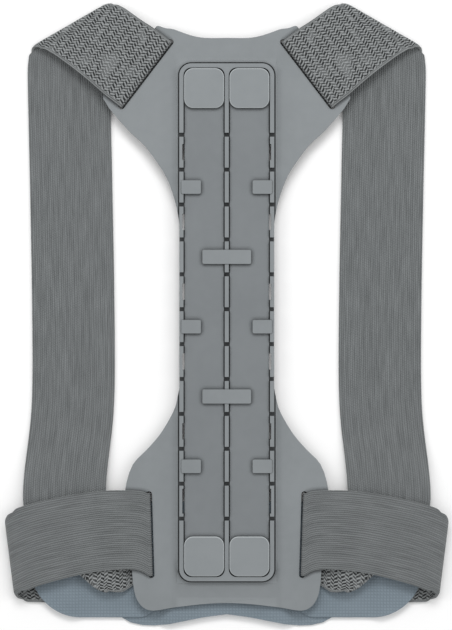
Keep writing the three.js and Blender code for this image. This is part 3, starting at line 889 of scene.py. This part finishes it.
def turn_faces():
    """Turn the faces of the mirrored piece right side up again."""
    bpy.ops.object.mode_set(mode="EDIT")
    bpy.ops.mesh.select_all(action="SELECT")
    bpy.ops.mesh.flip_normals()
    bpy.ops.object.mode_set(mode="OBJECT")


def wall(piece, thickness, slots=3):
    only(piece)
    solid = piece.modifiers.new("wall", "SOLIDIFY")
    solid.thickness = thickness
    solid.offset = 0
    solid.use_even_offset = False
    solid.use_quality_normals = True
    solid.material_offset = min(1, slots - 1)
    solid.material_offset_rim = min(2, slots - 1)
    bpy.ops.object.modifier_apply(modifier=solid.name)


# %% [markdown]
# ## The two faces of the elastic
#
# One face of the strap is ribbed: fine cords run along it, about 1.5 mm apart, crossed by fainter
# rows. The other face is a bold herringbone: pale yarns zigzag along the strap over a dark ground, and
# at each turn they move over by half a step. The gaps beside the arms of one slant are darker than
# those beside the other, which is painted shade, and wear makes it pale in places. Both are patterns
# on the flat strap, made of waves, so they bend with it. Relief comes from a bump on the same
# pattern, which keeps the mesh light.

# %% Ribbed weave group
ribs, arrives, leaves = start_group(
    "Ribbed weave", {"Flat": VECTOR}, {"Tone": FLOAT, "Height": FLOAT}
)
RIB_PITCH = 1.45 * MM
ROW_PITCH = 1.15 * MM
CORD_WANDER = 1.9 * MM
split = ribs.nodes.new("ShaderNodeSeparateXYZ")
wire(ribs, arrives["Flat"], split.inputs[0])
wander = stretched_noise(ribs, arrives["Flat"], (110, 26, 1))
place = calc(ribs, "MULTIPLY_ADD", wander, CORD_WANDER, split.outputs["X"])
cord = calc(ribs, "ABSOLUTE", calc(ribs, "SINE", calc(ribs, "MULTIPLY", place, math.pi / RIB_PITCH)))
odd = calc(ribs, "FLOOR", calc(ribs, "DIVIDE", place, RIB_PITCH))
turn = calc(ribs, "MULTIPLY", split.outputs["Y"], 2 * math.pi / ROW_PITCH)
turn = calc(ribs, "MULTIPLY_ADD", odd, math.pi, turn)
pick = calc(ribs, "MULTIPLY_ADD", calc(ribs, "SINE", turn), 0.5, 0.5)
streak = stretched_noise(ribs, arrives["Flat"], (620, 45, 1), 3.0)
patch = stretched_noise(ribs, arrives["Flat"], (70, 45, 1), 3.0)
height = calc(ribs, "MULTIPLY_ADD", pick, 0.35, calc(ribs, "MULTIPLY", cord, 0.65))
wire(ribs, height, leaves["Height"])
yarn = calc(ribs, "MULTIPLY_ADD", height, 0.34, calc(ribs, "MULTIPLY", streak, 0.85))
wire(ribs, calc(ribs, "MULTIPLY_ADD", patch, 0.25, calc(ribs, "SUBTRACT", yarn, 0.12)), leaves["Tone"])
print(ribs.name, "has", len(ribs.nodes), "nodes")

# %% Herringbone weave group
bones, arrives, leaves = start_group(
    "Herringbone weave", {"Flat": VECTOR}, {"Tone": FLOAT, "Height": FLOAT}
)
STACK_PITCH = 2.35 * MM
ZIGZAG_LENGTH = 5.2 * MM
ZIGZAG_SWING = 1.35 * MM
TURN_SWAY = 2 * MM
YARN_WOBBLE = 0.9 * MM
split = bones.nodes.new("ShaderNodeSeparateXYZ")
wire(bones, arrives["Flat"], split.inputs[0])
sway = stretched_noise(bones, arrives["Flat"], (190, 190, 1))
wobble = stretched_noise(bones, arrives["Flat"], (640, 420, 1))
along = calc(bones, "MULTIPLY_ADD", sway, TURN_SWAY, split.outputs["Y"])
zigzag = calc(bones, "PINGPONG", along, ZIGZAG_LENGTH / 2)
slant = calc(bones, "MULTIPLY_ADD", zigzag, 2 * ZIGZAG_SWING / ZIGZAG_LENGTH, split.outputs["X"])
slant = calc(bones, "MULTIPLY_ADD", wobble, YARN_WOBBLE, slant)
rising = calc(bones, "LESS_THAN", calc(bones, "FRACT", calc(bones, "DIVIDE", along, ZIGZAG_LENGTH)), 0.5)
stack = calc(bones, "MULTIPLY_ADD", rising, 0.5, calc(bones, "DIVIDE", slant, STACK_PITCH))
share = calc(bones, "FRACT", stack)
ridge = calc(bones, "SUBTRACT", 1.0, calc(bones, "ABSOLUTE", calc(bones, "MULTIPLY_ADD", share, 2.0, -1.0)))
shade = stretched_noise(bones, arrives["Flat"], (420, 260, 1))
gap = calc(bones, "SUBTRACT", 1.0, ease(bones, ridge, 0.15, 0.85))
# Painted shade: the gaps beside the arms of one slant are made darker than those beside the other
gap = calc(bones, "MULTIPLY", gap, calc(bones, "MULTIPLY_ADD", rising, 0.3, 0.7))
gap = calc(bones, "MULTIPLY", gap, calc(bones, "MULTIPLY_ADD", ease(bones, shade, 0.3, 0.6), 0.6, 0.55))
bone = calc(bones, "SUBTRACT", 1.0, gap)
strand = stretched_noise(bones, arrives["Flat"], (1500, 700, 1))
worn = stretched_noise(bones, arrives["Flat"], (38, 60, 1), 3.0)
lifted = calc(bones, "MULTIPLY", ease(bones, worn, 0.46, 0.66), 0.62)
tone = calc(bones, "MAXIMUM", bone, lifted)
contrast = calc(bones, "MULTIPLY_ADD", tone, 1.2, -0.5)
wire(bones, calc(bones, "MULTIPLY_ADD", strand, 0.4, contrast), leaves["Tone"])
wire(bones, calc(bones, "MULTIPLY_ADD", strand, 0.2, calc(bones, "MULTIPLY", bone, 0.8)), leaves["Height"])
print(bones.name, "has", len(bones.nodes), "nodes")


# %% Strap finishes
def flat_place(tree):
    node = tree.nodes.new("ShaderNodeUVMap")
    node.uv_map = "weave"
    return node.outputs["UV"]


def edge_band(tree, flat, width):
    """1 on the plain woven edge of the strap, 0 between the two edges."""
    split = tree.nodes.new("ShaderNodeSeparateXYZ")
    wire(tree, flat, split.inputs[0])
    far = calc(tree, "SUBTRACT", STRAP_WIDTH, split.outputs["X"])
    nearest = calc(tree, "MINIMUM", split.outputs["X"], far)
    return calc(tree, "SUBTRACT", 1.0, ease(tree, nearest, width * 0.7, width))


def blend(tree, share, low, high):
    return calc(tree, "MULTIPLY_ADD", calc(tree, "SUBTRACT", high, low), share, low)


def woven_finish(name, group, low, high, relief, edge_width):
    finish, tree, shader = start_finish(name)
    flat = flat_place(tree)
    face = place_group(tree, group, Flat=flat)
    plain = place_group(tree, ribs, Flat=flat)
    band = edge_band(tree, flat, edge_width)
    tone = blend(tree, band, face["Tone"], plain["Tone"])
    height = blend(tree, band, face["Height"], plain["Height"])
    wire(tree, mix_colour(tree, tone, (*low, 1), (*high, 1)), shader.inputs["Base Color"])
    shader.inputs["Roughness"].default_value = 0.88
    shader.inputs["Sheen Weight"].default_value = 0.12
    bump(tree, height, shader, relief)
    return finish


# low colour, high colour, relief, width of the plain edge
RIBBED = ((0.045, 0.050, 0.051), (0.198, 0.211, 0.215), 0.5 * MM, 1.5 * MM)
HERRINGBONE = ((0.008, 0.010, 0.011), (0.285, 0.300, 0.303), 0.6 * MM, 2 * MM)
EDGE = ((0.085, 0.090, 0.090), (0.185, 0.195, 0.195), 0.2 * MM, 1.5 * MM)
ribbed_finish = woven_finish("ribbed_elastic", ribs, *RIBBED)
bone_finish = woven_finish("herringbone_elastic", bones, *HERRINGBONE)
edge_finish = woven_finish("elastic_edge", ribs, *EDGE)
print("strap finishes", bone_finish.name, ribbed_finish.name, edge_finish.name)

# %% Straps
for side, sign in SIDES.items():
    strap = strap_grid(f"elastic_strap_{side}")
    lay_strap(strap, sign)
    if sign < 0:
        turn_faces()
    for finish in (bone_finish, ribbed_finish, edge_finish):
        strap.data.materials.append(finish)
    wall(strap, STRAP_THICKNESS)
    dress(strap, "webbing", f"strap_{side}")

# %% [markdown]
# ## Mesh pads and lining
#
# At the waist lie two closure pads and a lining, all of the same blue-grey mesh with a fine square
# weave. Each is a grid that takes the piece's outline, with a wall for its thickness. The pad lies on
# the belt's return and comes down to the ground beside it. Its inner edge laps over the lining, and
# the plate hides where it ends.

# %% Mesh weave finish
net, arrives, leaves = start_group("Square mesh", {"Vector": VECTOR}, {"Tone": FLOAT, "Height": FLOAT})
NET_PITCH = 2.1 * MM
split = net.nodes.new("ShaderNodeSeparateXYZ")
wire(net, arrives["Vector"], split.inputs[0])
threads = []
for axis in "XY":
    wave = calc(net, "SINE", calc(net, "MULTIPLY", split.outputs[axis], 2 * math.pi / NET_PITCH))
    threads.append(calc(net, "MULTIPLY_ADD", wave, 0.5, 0.5))
crossing = calc(net, "POWER", calc(net, "MINIMUM", *threads), 0.5)
fuzz = stretched_noise(net, arrives["Vector"], (1500, 1500, 1500))
cloud = stretched_noise(net, arrives["Vector"], (35, 60, 35), 3.0)
wire(net, calc(net, "MULTIPLY_ADD", fuzz, 0.15, calc(net, "MULTIPLY", crossing, 0.85)), leaves["Height"])
tone = calc(net, "MULTIPLY_ADD", crossing, 0.4, calc(net, "MULTIPLY", fuzz, 0.25))
wire(net, calc(net, "MULTIPLY_ADD", cloud, 0.45, tone), leaves["Tone"])


def mesh_finish(name, low, high):
    finish, tree, shader = start_finish(name)
    out = place_group(tree, net, Vector=object_place(tree))
    wire(tree, mix_colour(tree, out["Tone"], (*low, 1), (*high, 1)), shader.inputs["Base Color"])
    shader.inputs["Roughness"].default_value = 0.92
    shader.inputs["Sheen Weight"].default_value = 0.15
    bump(tree, out["Height"], shader, 0.25 * MM)
    return finish


print(net.name, "has", len(net.nodes), "nodes")
pad_finish = mesh_finish("blue_grey_mesh", (0.118, 0.152, 0.178), (0.220, 0.268, 0.308))

# %% Pad outline
# outer and inner are the corner radii
CLOSURE_PAD = {"height": 70.6 * MM, "outer": 34.5 * MM, "inner": 12 * MM}
OUTER_OVERHANG = 1 * MM
LAP = 25 * MM
PAD_DRAPE = {"start": 4 * MM, "length": 10 * MM}
PAD_GRID = (56, 56)
LINING_GRID = (110, 60)
print("each pad has", PAD_GRID, "faces a side, and the lining", LINING_GRID)


def rounded_half(distance, width, height, radius):
    past = np.maximum(np.abs(distance) - (width / 2 - radius), 0)
    return height / 2 - radius + np.sqrt(np.maximum(radius ** 2 - past ** 2, 0))


def cloth_grid(name, columns, rows):
    bpy.ops.object.select_all(action="DESELECT")
    bpy.ops.mesh.primitive_grid_add(x_subdivisions=columns, y_subdivisions=rows, size=2)
    piece = bpy.context.object
    piece.name = name
    return piece, read_points(piece)


# %% Closure pads
# The pad's inner edge laps over the lining's outer edge, and both are half as thick there
def pad_points(grid, node):
    low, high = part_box(node)
    sign = 1 if high.x > 0 else -1
    centre = (low + high) / 2
    inner = abs(centre.x) - (high.x - low.x) / 2 - LAP
    outer = abs(centre.x) + (high.x - low.x) / 2 + OUTER_OVERHANG
    share = np.sin(grid[:, 0] * math.pi / 2)
    out = lerp(inner, outer, (share + 1) / 2)
    middle = (inner + outer) / 2
    corner = np.where(share > 0, CLOSURE_PAD["outer"], CLOSURE_PAD["inner"])
    half = rounded_half(out - middle, outer - inner, CLOSURE_PAD["height"], corner)
    start = belt_low[0] - RETURN_LENGTH - PAD_DRAPE["start"]
    rise = soft_step(out, start - PAD_DRAPE["length"], start) * pad_lift
    return np.column_stack([sign * out, centre.y + grid[:, 1] * half, PAD_THICKNESS / 2 + rise]), sign


LAP_FADE = 4 * MM
LAP_CLEARANCE = 0.05 * MM


def lap_edge(piece, below):
    """Thin the lapped strip: the pad keeps its upper half there, and the lining its lower half."""
    points = read_points(piece)
    out = np.abs(points[:, 0])
    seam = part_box("lumbar_lining")[1].x
    half = PAD_THICKNESS / 2 + LAP_CLEARANCE
    if below:
        lapped = 1 - soft_step(out, seam - LAP_FADE / 2, seam + LAP_FADE)
        move = lapped * half * (points[:, 2] < half)
    else:
        lapped = soft_step(out, seam - LAP - LAP_FADE, seam - LAP)
        move = -lapped * half * (points[:, 2] > half)
    points[:, 2] += move
    write_points(piece, points)


for side in SIDES:
    pad, grid = cloth_grid(f"mesh_pad_{side}", *PAD_GRID)
    points, sign = pad_points(grid, f"closure_pad_{side}")
    write_points(pad, points)
    if sign < 0:
        turn_faces()
    wall(pad, PAD_THICKNESS, 1)
    lap_edge(pad, True)
    finish_piece(pad, pad_finish, "mesh", f"closure_pad_{side}")

# %% Lumbar lining
# over is a share of the lining's half width and up a share of its height
LINING_EDGE = {
    "over": (0, 0.22, 0.43, 0.56, 0.68, 0.8, 0.91, 1),
    "up": (0.095, 0.07, 0.034, 0.012, 0, 0.004, 0.025, 0.07),
}
LINING_CORNER = 4 * MM
THICK_EDGE = 8 * MM
lining_low, lining_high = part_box("lumbar_lining")
lumbar_thickness = plate_low.z - SEAT_GAP

lining, grid = cloth_grid("lumbar_mesh", *LINING_GRID)
share = np.sin(grid[:, 0] * math.pi / 2)
x = share * lining_high.x
corner = LINING_CORNER - rounded_half(x, 2 * lining_high.x, 2 * LINING_CORNER, LINING_CORNER)
foot = np.interp(np.abs(share), LINING_EDGE["over"], LINING_EDGE["up"]) * (lining_high.y - lining_low.y)
top_y, foot_y = lining_high.y - corner, lining_low.y + foot
y = foot_y + (top_y - foot_y) * (grid[:, 1] + 1) / 2
write_points(lining, np.column_stack([x, y, np.full(len(x), PAD_THICKNESS / 2)]))
wall(lining, PAD_THICKNESS, 1)
points = read_points(lining)
thick_half = lower["centre"][0] - SLOT_WIDTH - 2 * SLOT_BEND
fill = 1 - soft_step(np.abs(points[:, 0]), thick_half - THICK_EDGE, thick_half)
above = points[:, 2] > PAD_THICKNESS / 2
points[:, 2] += np.where(above, fill * (lumbar_thickness - PAD_THICKNESS), 0)
write_points(lining, points)
lap_edge(lining, False)
finish_piece(lining, pad_finish, "mesh", "lumbar_lining")

# %% [markdown]
# ## Close the scene
#
# A helper rounds each corner of a box to five places. Cloth may stand a few millimetres proud, and
# nothing else.

# %% Box rounding helper
def plain(box):
    return [[round(v, 5) for v in corner] for corner in box]
